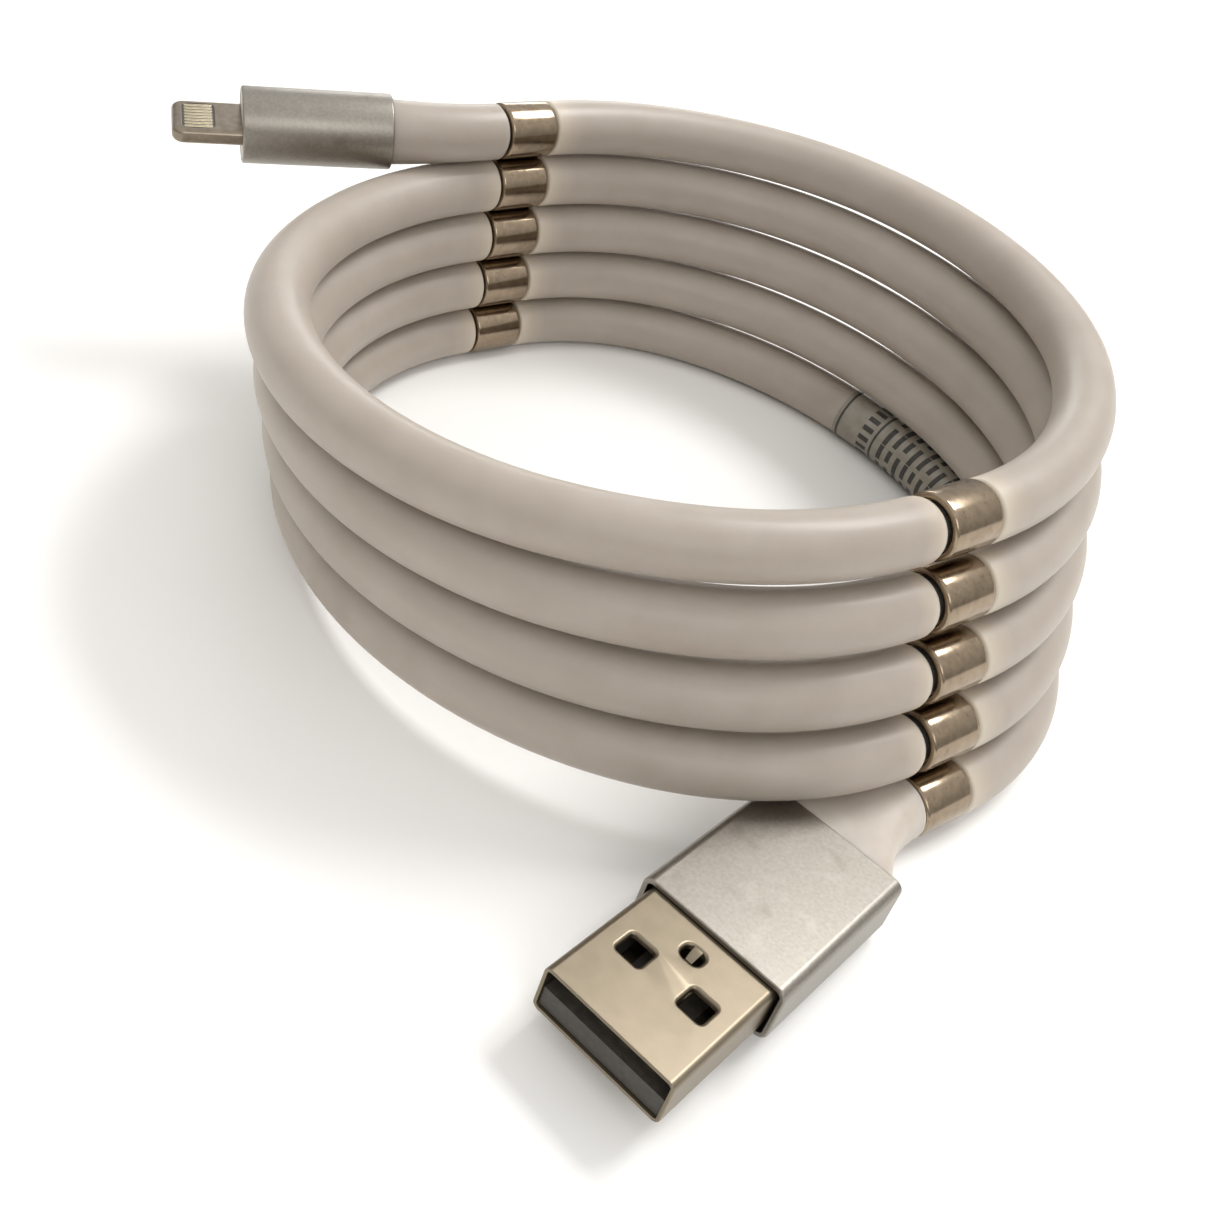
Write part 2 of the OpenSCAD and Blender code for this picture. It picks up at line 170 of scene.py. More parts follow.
def make_world():
    """Bright overhead and darker towards the horizon, which gives the metals their contrast"""
    world = bpy.data.worlds.new("studio")
    world.use_nodes = True
    nodes, links = world.node_tree.nodes, world.node_tree.links
    coordinates = nodes.new("ShaderNodeTexCoord")
    split = nodes.new("ShaderNodeSeparateXYZ")
    ramp = nodes.new("ShaderNodeValToRGB")
    links.new(coordinates.outputs["Generated"], split.inputs[0])
    links.new(split.outputs["Z"], ramp.inputs["Fac"])
    links.new(ramp.outputs["Color"], nodes["Background"].inputs["Color"])
    for stop, (height, colour) in zip(ramp.color_ramp.elements, WORLD_STOPS):
        stop.position = height
        stop.color = colour
    nodes["Background"].inputs["Strength"].default_value = WORLD_STRENGTH
    bpy.context.scene.world = world


make_camera()
make_world()
make_softbox("side", (0.75, -0.3, 0.6), (0.5, 0.4), 1.3)
make_softbox("back", (-0.05, 0.56, 0.82), (0.4, 0.2), 5.2)
make_softbox("low", (-0.85, 0.55, 0.26), (0.45, 0.24), 1.3)
bpy.context.scene.view_settings.view_transform = "Standard"


# Materials ----------------------------------------------------------------------------------


def linear(colour):
    """Linear RGBA of an sRGB colour given from 0 to 255"""
    channels = [value / 255 for value in colour]
    return [c / 12.92 if c <= 0.04045 else ((c + 0.055) / 1.055) ** 2.4 for c in channels] + [1]


# Noise values between which a surface's colour runs, and how much finer its relief is
CLOUD_BAND = (0.32, 0.68)
FINE_PER_GRAIN = 5


def surface(name, dark, light, grain, rough, bump=0.0, metallic=0, sockets=None):
    """Principled material whose colour runs between dark and light, and whose roughness runs
    over rough, with a cloudy grain of that size in millimetres. bump is the depth of the fine
    grain in millimetres. sockets are further constants."""
    material = bpy.data.materials.new(name)
    material.use_nodes = True
    nodes, links = material.node_tree.nodes, material.node_tree.links
    shader = nodes["Principled BSDF"]
    coordinates = nodes.new("ShaderNodeTexCoord")

    cloud = nodes.new("ShaderNodeTexNoise")
    cloud.inputs["Scale"].default_value = 1 / (grain * MM)
    cloud.inputs["Detail"].default_value = 4
    links.new(coordinates.outputs["Object"], cloud.inputs["Vector"])

    ramp = nodes.new("ShaderNodeValToRGB")
    for stop, level, colour in zip(ramp.color_ramp.elements, CLOUD_BAND, (dark, light)):
        stop.position = level
        stop.color = linear(colour)
    links.new(cloud.outputs["Fac"], ramp.inputs["Fac"])
    links.new(ramp.outputs["Color"], shader.inputs["Base Color"])

    polish = nodes.new("ShaderNodeMapRange")
    polish.inputs["To Min"].default_value, polish.inputs["To Max"].default_value = rough
    links.new(cloud.outputs["Fac"], polish.inputs["Value"])
    links.new(polish.outputs["Result"], shader.inputs["Roughness"])

    if bump:
        fine = nodes.new("ShaderNodeTexNoise")
        fine.inputs["Scale"].default_value = FINE_PER_GRAIN / (grain * MM)
        fine.inputs["Detail"].default_value = 3
        relief = nodes.new("ShaderNodeBump")
        relief.inputs["Distance"].default_value = bump * MM
        links.new(coordinates.outputs["Object"], fine.inputs["Vector"])
        links.new(fine.outputs["Fac"], relief.inputs["Height"])
        links.new(relief.outputs["Normal"], shader.inputs["Normal"])

    shader.inputs["Metallic"].default_value = metallic
    for socket, value in (sockets or {}).items():
        shader.inputs[socket].default_value = value
    return material


MILKY = {
    "Subsurface Weight": 0.8,
    "Subsurface Radius": (1.0, 0.9, 0.8),
    "Subsurface Scale": 0.003,
    "Coat Weight": 0.15,
    "Coat Roughness": 0.25,
}


def tint(material, colour, mask):
    """Mix a colour into the material's base colour where the mask is high"""
    nodes, links = material.node_tree.nodes, material.node_tree.links
    base = nodes["Principled BSDF"].inputs["Base Color"]
    mix = nodes.new("ShaderNodeMixRGB")
    mix.inputs["Color2"].default_value = linear(colour)
    links.new(base.links[0].from_socket, mix.inputs["Color1"])
    links.new(mask, mix.inputs["Fac"])
    links.new(mix.outputs["Color"], base)


def attribute_mask(material, name):
    attribute = material.node_tree.nodes.new("ShaderNodeAttribute")
    attribute.attribute_name = name
    return attribute.outputs["Fac"]


def patch_mask(material, size, low, high, most):
    """Mask of scattered soft patches of that size in millimetres, no stronger than most"""
    nodes, links = material.node_tree.nodes, material.node_tree.links
    coordinates = nodes.new("ShaderNodeTexCoord")
    cloud = nodes.new("ShaderNodeTexNoise")
    cloud.inputs["Scale"].default_value = 1 / (size * MM)
    cloud.inputs["Detail"].default_value = 2
    strength = nodes.new("ShaderNodeMapRange")
    strength.inputs["From Min"].default_value = low
    strength.inputs["From Max"].default_value = high
    strength.inputs["To Max"].default_value = most
    links.new(coordinates.outputs["Object"], cloud.inputs["Vector"])
    links.new(cloud.outputs["Fac"], strength.inputs["Value"])
    return strength.outputs["Result"]


sleeve_skin = surface("sleeve_skin", (165, 155, 144), (171, 161, 151), 5, (0.42, 0.54),
                      bump=0.01, sockets=MILKY)
# Painted sheen: the sleeve skin is mixed towards a lighter colour within TIP_LEN of each end, by
# the "tip" mask
tint(sleeve_skin, (196, 184, 168), attribute_mask(sleeve_skin, "tip"))
tint(sleeve_skin, (126, 108, 92), patch_mask(sleeve_skin, 12, 0.68, 0.84, 0.3))
# Painted light: the boot's colour is lighter than the sleeves' to make up for the shade the coil
# casts on it
boot_skin = surface("boot_skin", (184, 174, 163), (194, 185, 175), 2.5, (0.42, 0.54),
                    bump=0.01, sockets=MILKY)
jacket_skin = surface("jacket_skin", (214, 210, 202), (224, 221, 214), 1.5, (0.4, 0.55),
                      bump=0.01)
ring_nickel = surface("ring_nickel", (142, 126, 107), (158, 142, 122), 0.9, (0.12, 0.22),
                      bump=0.0012, metallic=1)
tint(ring_nickel, (84, 70, 56), patch_mask(ring_nickel, 0.35, 0.62, 0.74, 0.4))
bush_sinter = surface("bush_sinter", (62, 60, 58), (92, 89, 86), 0.25, (0.5, 0.7),
                      bump=0.02, metallic=0.7)
housing_aluminium = surface("housing_aluminium", (142, 137, 129), (154, 149, 141), 0.3,
                            (0.34, 0.44), bump=0.006, metallic=1)
tint(housing_aluminium, (166, 162, 153), patch_mask(housing_aluminium, 2.6, 0.6, 0.74, 0.4))
tint(housing_aluminium, (114, 109, 100), patch_mask(housing_aluminium, 3.4, 0.62, 0.78, 0.45))
shell_steel = surface("shell_steel", (132, 122, 105), (140, 129, 112), 1.6, (0.36, 0.44),
                      bump=0.003, metallic=1)
tab_steel = surface("tab_steel", (128, 118, 104), (146, 135, 120), 0.8, (0.25, 0.35),
                    bump=0.003, metallic=1)
contact_gold = surface("contact_gold", (190, 179, 152), (208, 197, 170), 0.6, (0.2, 0.3),
                       bump=0.002, metallic=1)
insulator_black = surface("insulator_black", (58, 55, 50), (72, 68, 62), 0.5, (0.45, 0.6),
                          bump=0.01)
mould_white = surface("mould_white", (206, 202, 192), (218, 214, 206), 1.5, (0.5, 0.62),
                      bump=0.02)
label_film = surface("label_film", (128, 122, 110), (144, 138, 126), 1.2, (0.3, 0.4),
                     bump=0.003, sockets={"Coat Weight": 0.3})
label_ink = surface("label_ink", (46, 43, 40), (62, 59, 55), 0.5, (0.5, 0.6), bump=0.002)
board_green = surface("board_green", (22, 74, 44), (30, 92, 56), 0.4, (0.35, 0.5), bump=0.01)
chip_black = surface("chip_black", (26, 26, 27), (36, 36, 38), 0.2, (0.5, 0.65), bump=0.01)
wire_red = surface("wire_red", (148, 30, 26), (168, 40, 34), 0.6, (0.35, 0.5), bump=0.01)
wire_black = surface("wire_black", (28, 28, 28), (40, 40, 40), 0.6, (0.35, 0.5), bump=0.01)
wire_green = surface("wire_green", (28, 104, 50), (38, 122, 62), 0.6, (0.35, 0.5), bump=0.01)
wire_white = surface("wire_white", (214, 212, 206), (226, 224, 219), 0.6, (0.35, 0.5), bump=0.01)
floor_paper = surface("floor_paper", (244, 243, 241), (248, 247, 245), 60, (0.8, 0.9))


# Mesh building ------------------------------------------------------------------------------

SHARP = math.radians(40)


def mesh_from(name, points, faces, tips=None):
    """Mesh in metres and the row frame, smooth but for edges sharper than SHARP. tips holds each
    point's value of the "tip" attribute."""
    build = bmesh.new()
    vertices = [build.verts.new(in_row_frame(Vector(point))) for point in points]
    for face in faces:
        build.faces.new([vertices[index] for index in face])
    bmesh.ops.recalc_face_normals(build, faces=build.faces)
    for face in build.faces:
        face.smooth = True
    for edge in build.edges:
        edge.smooth = edge.calc_face_angle(0) < SHARP
    mesh = bpy.data.meshes.new(name)
    build.to_mesh(mesh)
    build.free()
    if tips:
        mesh.attributes.new("tip", "FLOAT", "POINT").data.foreach_set("value", tips)
    return mesh


def piece(name, mesh, body, material, replaces=()):
    made = bpy.data.objects.new(name, mesh)
    made.data.materials.clear()
    made.data.materials.append(material)
    bpy.context.collection.objects.link(made)
    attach(made, body)
    if replaces:
        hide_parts(*replaces)
    return made


def skin(rings, closed=True):
    """Points and faces of a skin over rings of points. It joins the last ring to the first, or
    caps both ends."""
    count = len(rings[0])
    points = [point for ring in rings for point in ring]
    steps = len(rings) if closed else len(rings) - 1
    faces = []
    for i in range(steps):
        a, b = i * count, (i + 1) % len(rings) * count
        for j in range(count):
            k = (j + 1) % count
            faces.append((a + j, a + k, b + k, b + j))
    if not closed:
        last = (len(rings) - 1) * count
        faces.append(tuple(range(count)))
        faces.append(tuple(range(last, last + count)))
    return points, faces


def circle(radius, sides):
    return [(radius * math.cos(math.tau * i / sides), radius * math.sin(math.tau * i / sides))
            for i in range(sides)]


def superellipse(half_w, half_h, power, sides):
    loop = []
    for i in range(sides):
        angle = math.tau * (i + 0.5) / sides
        c, s = math.cos(angle), math.sin(angle)
        loop.append((half_w * math.copysign(abs(c) ** (2 / power), c),
                     half_h * math.copysign(abs(s) ** (2 / power), s)))
    return loop


def rounded_rect(w, h, radius, per_corner=8):
    loop = []
    for corner, (x, y) in enumerate([(1, 1), (-1, 1), (-1, -1), (1, -1)]):
        for i in range(per_corner + 1):
            angle = math.pi / 2 * (corner + i / per_corner)
            loop.append((x * (w / 2 - radius) + radius * math.cos(angle),
                         y * (h / 2 - radius) + radius * math.sin(angle)))
    return loop


def turned(loop, angle):
    c, s = math.cos(angle), math.sin(angle)
    return [(x * c - y * s, x * s + y * c) for x, y in loop]


def on_station(station, loop):
    """The loop's points on a section of the cord: x points across and y up"""
    point, across, up = station
    return [point + x * across + y * up for x, y in loop]


# Route of the cord --------------------------------------------------------------------------


class Stretch:
    """A stretch of cord: its length, and the middle and the section's axes at a distance on it"""

    def __init__(self, length, at):
        self.length = length
        self.at = at

    def moved(self, matrix):
        turn = matrix.to_3x3()

        def at(distance):
            point, across, up = self.at(distance)
            return matrix @ point, turn @ across, turn @ up

        return Stretch(self.length, at)

    def reversed(self):
        return Stretch(self.length, lambda distance: self.at(self.length - distance))

    def stations(self, count):
        return [self.at(self.length * i / count) for i in range(count + 1)]


def arch_radii(span, height):
    """Radius of a three-centred arch at its ends and at its crown"""
    step = (span - height) / (math.sqrt(2) - 1)
    end_r = span - step / math.sqrt(2)
    return end_r, end_r + step


def arch(span, height):
    """Three-centred arch from +X over +Y to -X"""
    end_r, crown_r = arch_radii(span, height)
    end_len = end_r * math.pi / 4
    crown_len = crown_r * math.pi / 2

    def at(distance):
        if distance < end_len:
            centre, radius, angle = Vector((span - end_r, 0, 0)), end_r, distance / end_r
        elif distance < end_len + crown_len:
            centre, radius = Vector((0, height - crown_r, 0)), crown_r
            angle = math.pi / 4 + (distance - end_len) / crown_r
        else:
            centre, radius = Vector((end_r - span, 0, 0)), end_r
            angle = math.pi * 3 / 4 + (distance - end_len - crown_len) / end_r
        across = Vector((math.cos(angle), math.sin(angle), 0))
        return centre + radius * across, across, UP

    return Stretch(2 * end_len + crown_len, at)


def back_turn(turn):
    """Level half-turn behind the stacks, from the right ring to the left one"""
    span = (right_x(turn) - left_x(turn)) / 2
    centre = Vector(((left_x(turn) + right_x(turn)) / 2, RING_HALF, ring_z(turn)))
    return arch(span, 2 * COIL_R - span).moved(Matrix.Translation(centre))


def front_turn(turn):
    """Half-turn in front of the stacks, from a right ring down to the left ring below"""
    flat_span = (right_x(turn) - left_x(turn + 1)) / 2
    tilt = math.atan(TURN_PITCH / 2 / flat_span)
    span = flat_span / math.cos(tilt)
    centre = Vector(((left_x(turn + 1) + right_x(turn)) / 2, -RING_HALF,
                     ring_z(turn) - TURN_PITCH / 2))
    to_front = Matrix.Scale(-1, 4, Vector((0, 1, 0)))
    place = Matrix.Translation(centre) @ Matrix.Rotation(-tilt, 4, "Y") @ to_front
    return arch(span, 2 * COIL_R - span).moved(place)


def through_ring(x, turn):
    """Straight stretch through a ring, from the back to the front"""
    across = Vector((math.copysign(1, x), 0, 0))
    return Stretch(2 * RING_HALF,
                   lambda distance: (Vector((x, RING_HALF - distance, ring_z(turn))), across, UP))


AT_LEAD_START = (Matrix.Translation((left_x(1), -RING_HALF, ring_z(1)))
                 @ Matrix.Rotation(-LEAD_DIP, 4, "Y"))
AT_PHONE_PLUG = (AT_LEAD_START @ Matrix.Translation((-LEAD_R, 0, 0))
                 @ Matrix.Rotation(-LEAD_BEND, 4, "Z") @ Matrix.Translation((LEAD_R, 0, 0))
                 @ Matrix.Rotation(LEAD_DIP, 4, "Y"))
AT_BOOT_START = (Matrix.Translation((right_x(TURN_COUNT), -RING_HALF, ring_z(TURN_COUNT)))
                 @ Matrix.Rotation(-BOOT_LIFT, 4, "Y"))
AT_USB_PLUG = (AT_BOOT_START @ Matrix.Translation((BOOT_R, 0, 0))
               @ Matrix.Rotation(BOOT_BEND, 4, "Z") @ Matrix.Translation((-BOOT_R, 0, 0))
               @ Matrix.Rotation(BOOT_LIFT - PLUG_ROLL, 4, "Y"))


def bend(radius, length, side):
    """Arc from the coil towards -Y that bends towards side, 1 for +X or -1 for -X"""

    def at(distance):
        angle = distance / radius
        across = Vector((-side * math.cos(angle), -math.sin(angle), 0))
        return Vector((side * radius, 0, 0)) + radius * across, across, UP

    return Stretch(length, at)


LEAD = bend(LEAD_R, LEAD_LEN, -1).moved(AT_LEAD_START)
BOOT = bend(BOOT_R, BOOT_LEN, 1).moved(AT_BOOT_START)


def straight(matrix, from_y, to_y):
    return Stretch(abs(to_y - from_y), lambda distance: (
        Vector((0, from_y + math.copysign(distance, to_y - from_y), 0)),
        Vector((1, 0, 0)), UP)).moved(matrix)


def route():
    """The cord's stretches in order, from inside the phone plug to inside the USB-A plug"""
    stretches = [straight(AT_PHONE_PLUG, -JACKET_IN_PHONE, 0), LEAD.reversed()]
    for turn in range(1, TURN_COUNT + 1):
        stretches.append(through_ring(left_x(turn), turn).reversed())
        stretches.append(back_turn(turn).reversed())
        stretches.append(through_ring(right_x(turn), turn))
        if turn < TURN_COUNT:
            stretches.append(front_turn(turn))
    return stretches + [BOOT, straight(AT_USB_PLUG, 0, -JACKET_IN_USB)]


CORE_SIDES = 20
CORE_STEP = 2


def core_cord():
    """The jacketed core in one tube from plug to plug"""
    stations = []
    for stretch in route():
        count = max(2, round(stretch.length / CORE_STEP))
        part = stretch.stations(count)
        stations += part if not stations else part[1:]
    rings = []
    previous = None
    for i, (point, across, up) in enumerate(stations):
        after = stations[min(i + 1, len(stations) - 1)][0]
        before = stations[max(i - 1, 0)][0]
        along = (after - before).normalized()
        side = previous if previous else across
        side = (side - side.dot(along) * along).normalized()
        previous = side
        rings.append(on_station((point, side, along.cross(side)), circle(CORE_D / 2, CORE_SIDES)))
    points, faces = skin(rings, closed=False)
    made = piece("core_cord", mesh_from("core_cord", points, faces), "cable", jacket_skin,
                 ["core_jacket"])
    path = [in_row_frame(station[0]) for station in stations]
    length = sum((b - a).length for a, b in zip(path, path[1:]))
    return made, path, length


# Sleeves ------------------------------------------------------------------------------------

SLEEVE_SIDES = 48
RIPPLE = 0.02
RIPPLE_SIZE = 9


def rippled(point, centre):
    """The point moved in or out by a slow ripple, as a soft moulded skin has"""
    height = noise.noise(point / RIPPLE_SIZE)
    return point + (point - centre).normalized() * RIPPLE * height


def station_near(stretch, distance):
    """The cord's section at a distance on the stretch, or straight on past either end"""
    step = 0.05
    near = min(max(distance, 0), stretch.length)
    before = stretch.at(max(near - step, 0))[0]
    after = stretch.at(min(near + step, stretch.length))[0]
    point, across, up = stretch.at(near)
    return point + (after - before).normalized() * (distance - near), across, up


def rounded_end(length):
    """Distances from an end and how far the skin draws in there, for a rounding of that length"""
    steps = 8
    parts = [math.sin(math.pi / 2 * i / steps) for i in range(steps)]
    return [(length * (1 - math.sqrt(1 - part ** 2)), length * (1 - part)) for part in parts]


# Length from each sleeve end over which the painted sheen fades out
TIP_LEN = 2.6
SLEEVE_STEPS = 70
# How long the rounding is at a sleeve's ends, and how far a front sleeve reaches into a ring
BACK_ROUND = 0.3
FRONT_START_ROUND = 1.7
FRONT_END_ROUND = 0.35
FRONT_REACH = 0.25
LEAD_ROUND = 0.25
LEAD_FLARE = 1.5
LEAD_STEPS = 30


def sleeve(name, stretch, start_round, end_round, start_reach=0.0):
    """Half-turn sleeve with its ends rounded over those lengths. Its start may reach further
    into the ring's dish than the CAD solid does."""
    radius = SLEEVE_D / 2
    total = stretch.length
    straight_len = total + start_reach - start_round - end_round
    places = [(inset - start_reach, shrink) for inset, shrink in rounded_end(start_round)]
    places += [(start_round - start_reach + straight_len * i / SLEEVE_STEPS, 0)
               for i in range(SLEEVE_STEPS + 1)]
    places += [(total - inset, shrink) for inset, shrink in reversed(rounded_end(end_round))]
    rings, tips = [], []
    for distance, shrink in places:
        station = station_near(stretch, distance)
        loop = on_station(station, circle(radius - shrink, SLEEVE_SIDES))
        rings.append([rippled(corner, station[0]) for corner in loop])
        # Share of the painted sheen that this ring of points takes, strongest at the sleeve's
        # ends
        nearest = max(0, min(distance, total - distance))
        tips += [max(0, 1 - nearest / TIP_LEN)] * SLEEVE_SIDES
    bore = circle(SLEEVE_BORE / 2, SLEEVE_SIDES)
    bore_steps = SLEEVE_STEPS // 2
    for i in range(bore_steps, -1, -1):
        rings.append(on_station(stretch.at(total * i / bore_steps), bore))
        tips += [0] * SLEEVE_SIDES
    points, faces = skin(rings)
    return piece(name + "_skin", mesh_from(name, points, faces, tips), "cable", sleeve_skin,
                 [name])


def lead_sleeve():
    """Sleeve from the first ring to the phone plug, a little wider at the plug"""
    rings = []
    for i in range(LEAD_STEPS + 1):
        part = i / LEAD_STEPS
        radius = (SLEEVE_D + (LEAD_END_D - SLEEVE_D) * part ** LEAD_FLARE) / 2
        station = LEAD.at(LEAD_LEN * part)
        if i == 0:
            rings.append(on_station(station, circle(radius - LEAD_ROUND, SLEEVE_SIDES)))
            station = LEAD.at(LEAD_ROUND)
        rings.append(on_station(station, circle(radius, SLEEVE_SIDES)))
    for i in range(LEAD_STEPS, -1, -1):
        rings.append(on_station(LEAD.at(LEAD_LEN * i / LEAD_STEPS),
                                circle(SLEEVE_BORE / 2, SLEEVE_SIDES)))
    points, faces = skin(rings)
    return piece("lead_sleeve_skin", mesh_from("lead_sleeve", points, faces), "cable",
                 sleeve_skin, ["lead_sleeve"])


BOOT_END_W = 12.5
BOOT_END_H = 5.1
BOOT_POWER = 5
BOOT_FLARE = 1.9
BOOT_STEPS = 36
BOOT_SIDES = 64


def usb_boot():
    """Boot that flares from the last ring's round section to the housing's flat one"""
    turn = BOOT_LIFT - PLUG_ROLL
    rings = []
    for i in range(BOOT_STEPS + 1):
        part = i / BOOT_STEPS
        half_w = (SLEEVE_D + (BOOT_END_W - SLEEVE_D) * part ** BOOT_FLARE) / 2
        half_h = (SLEEVE_D + (BOOT_END_H - SLEEVE_D) * part) / 2
        loop = superellipse(half_w, half_h, 2 + (BOOT_POWER - 2) * part, BOOT_SIDES)
        rings.append(on_station(BOOT.at(BOOT_LEN * part), turned(loop, turn)))
    bore = superellipse(SLEEVE_BORE / 2, SLEEVE_BORE / 2, 2, BOOT_SIDES)
    for i in range(BOOT_STEPS, -1, -1):
        rings.append(on_station(BOOT.at(BOOT_LEN * i / BOOT_STEPS), turned(bore, turn)))
    points, faces = skin(rings)
    return piece("usb_boot_skin", mesh_from("usb_boot", points, faces), "cable", boot_skin,
                 ["usb_boot"])


# Ring magnets -------------------------------------------------------------------------------

RING_EDGE = 0.32
RING_DISH = 0.35
RING_SIDES = 96
# Widths of the dish's flat floor, and of the floor and slope together
DISH_FLOOR = 0.12
DISH_WIDTH = 0.3


def ring_magnet(side, x, turn):
    """Ring with rounded outer edges and a shallow dish in each end"""
    outer, inner, half = RING_D / 2, RING_BORE / 2, RING_LEN / 2
    edge_steps = 6
    profile = []
    for end in (-1, 1):
        dish = [(inner, end * (half - RING_DISH)), (inner + DISH_FLOOR, end * (half - RING_DISH)),
                (inner + DISH_WIDTH, end * half)]
        edge = [(outer - RING_EDGE + RING_EDGE * math.sin(math.pi / 2 * i / edge_steps),
                 end * (half - RING_EDGE + RING_EDGE * math.cos(math.pi / 2 * i / edge_steps)))
                for i in range(edge_steps + 1)]
        end_profile = dish + edge
        profile += end_profile if end < 0 else end_profile[::-1]
    rings = [[Vector((x + radius * math.cos(math.tau * j / RING_SIDES), y,
                      ring_z(turn) + radius * math.sin(math.tau * j / RING_SIDES)))
              for j in range(RING_SIDES)] for radius, y in profile]
    points, faces = skin(rings)
    name = f"{side}_ring_{turn}"
    return piece(name + "_skin", mesh_from(name, points, faces), name + "_body", ring_nickel,
                 [name])


# Plugs --------------------------------------------------------------------------------------


def along_plug(matrix, sections):
    """Rings of points on a plug: each section is a place on its length and a loop"""
    return [[matrix @ Vector((x, y, z)) for x, z in loop] for y, loop in sections]


def edge_sections(start, end, edge, loop_at):
    """Sections of an outer skin from start to end, its two edges rounded. loop_at gives the
    loop for a distance that the skin draws in."""
    steps = 5
    heading = math.copysign(1, end - start)
    sections = []
    for i in range(steps + 1):
        angle = math.pi / 2 * i / steps
        sections.append((start + heading * edge * (1 - math.sin(angle)),
                         loop_at(edge * (1 - math.cos(angle)))))
    sections.reverse()
    for i in range(steps + 1):
        angle = math.pi / 2 * i / steps
        sections.append((end - heading * edge * (1 - math.sin(angle)),
                         loop_at(edge * (1 - math.cos(angle)))))
    return sections


def finished(mesh, cutters=(), bevel=0):
    """The mesh less the cutters, its edges bevelled by so many millimetres, with normals that
    keep its broad faces flat"""
    base = bpy.data.objects.new("base", mesh)
    bpy.context.collection.objects.link(base)
    tools = []
    for cutter in cutters:
        tool = bpy.data.objects.new("tool", cutter)
        bpy.context.collection.objects.link(tool)
        cut = base.modifiers.new("cut", "BOOLEAN")
        cut.operation = "DIFFERENCE"
        cut.solver = "EXACT"
        cut.object = tool
        tools.append(tool)
    if bevel:
        rounding = base.modifiers.new("rounding", "BEVEL")
        rounding.width = bevel * MM
        rounding.segments = 2
        rounding.limit_method = "ANGLE"
        rounding.angle_limit = SHARP
    flatten = base.modifiers.new("flatten", "WEIGHTED_NORMAL")
    flatten.weight = 100
    flatten.keep_sharp = True
    depsgraph = bpy.context.evaluated_depsgraph_get()
    result = bpy.data.meshes.new_from_object(base.evaluated_get(depsgraph))
    for used in [base, *tools]:
        bpy.data.objects.remove(used)
    return result


def post(matrix, centre, w, length, height, radius):
    """Upright rounded block on a plug, drawn from -height / 2 to height / 2"""
    loop = rounded_rect(w, length, radius, 5)
    rings = [[matrix @ (Vector(centre) + Vector((x, y, z))) for x, y in loop]
             for z in (-height / 2, height / 2)]
    points, faces = skin(rings, closed=False)
    return mesh_from("post", points, faces)


SHELL_CORNER = 0.6
SHELL_FRONT = -USB_HOUSING_LEN - SHELL_LEN
SHELL_REAR = -USB_HOUSING_LEN + SHELL_INSIDE
WINDOW_W = 2.3
WINDOW_L = 2.2
WINDOW_X = 2.9
WINDOW_Y = SHELL_FRONT + 6.4
CATCH_W = 1.8
CATCH_L = 1.5
CATCH_Y = SHELL_FRONT + 9.6
WINDOW_R = 0.35
CATCH_R = 0.6
LIP_ROLL = 0.3
LIP_T = 0.16
LIP_SKIRT = 0.25
SHELL_EDGE = 0.1
MOUTH_SETBACK = 0.05
CUTTER_H = 1


def usb_shell():
    def outside(inset):
        return rounded_rect(SHELL_W - 2 * inset, SHELL_H - 2 * inset, SHELL_CORNER - inset / 2)

    inner_w, inner_h = SHELL_W - 2 * SHELL_T, SHELL_H - 2 * SHELL_T
    inside = rounded_rect(inner_w, inner_h, SHELL_CORNER - SHELL_T)
    sections = edge_sections(SHELL_FRONT, SHELL_REAR, SHELL_EDGE, outside)
    sections += [(SHELL_REAR, inside), (SHELL_FRONT + MOUTH_SETBACK, inside)]
    points, faces = skin(along_plug(AT_USB_PLUG, sections))
    body = mesh_from("usb_shell", points, faces)
    cutters = [post(AT_USB_PLUG, (side * WINDOW_X, WINDOW_Y, 0), WINDOW_W + 2 * LIP_ROLL,
                    WINDOW_L + 2 * LIP_ROLL, 2 * SHELL_H, WINDOW_R + LIP_ROLL)
               for side in (-1, 1)]
    cutters.append(post(AT_USB_PLUG, (0, CATCH_Y, SHELL_H / 2), CATCH_W + 2 * LIP_ROLL,
                        CATCH_L + 2 * LIP_ROLL, CUTTER_H, CATCH_R + LIP_ROLL))
    return piece("usb_shell_skin", finished(body, cutters), "cable", shell_steel,
                 ["usb_shell"])


def stamped_lip(name, x, y, side, w, length, radius):
    """Lip that the press rolls into the shell round an opening. side is 1 for the upper face
    and -1 for the lower."""
    steps = 8
    rings = []
    for layer in (0, LIP_T):
        part = []
        for i in range(steps + 1):
            angle = math.pi / 2 * i / steps
            bend_r = LIP_ROLL - layer
            grow = LIP_ROLL - bend_r * math.sin(angle)
            depth = -layer - bend_r * (1 - math.cos(angle))
            if i == steps:
                depth -= LIP_SKIRT
            loop = rounded_rect(w + 2 * grow, length + 2 * grow, radius + grow, 5)
            part.append([AT_USB_PLUG @ Vector((x + a, y + b, side * (SHELL_H / 2 + depth)))
                         for a, b in loop])
        rings += part if layer == 0 else part[::-1]
    points, faces = skin(rings)
    return piece(name, mesh_from(name, points, faces), "cable", shell_steel)


CATCH_TAB_LEN = 1.1
CATCH_TAB_W = 0.85
CATCH_TAB_TAPER = 0.2
CATCH_TAB_T = 0.2
CATCH_TAB_EDGE = 0.08
CATCH_TAB_TOP = 0.12
CATCH_TAB_DIP = 0.5
CATCH_TAB_BEND = 1.5


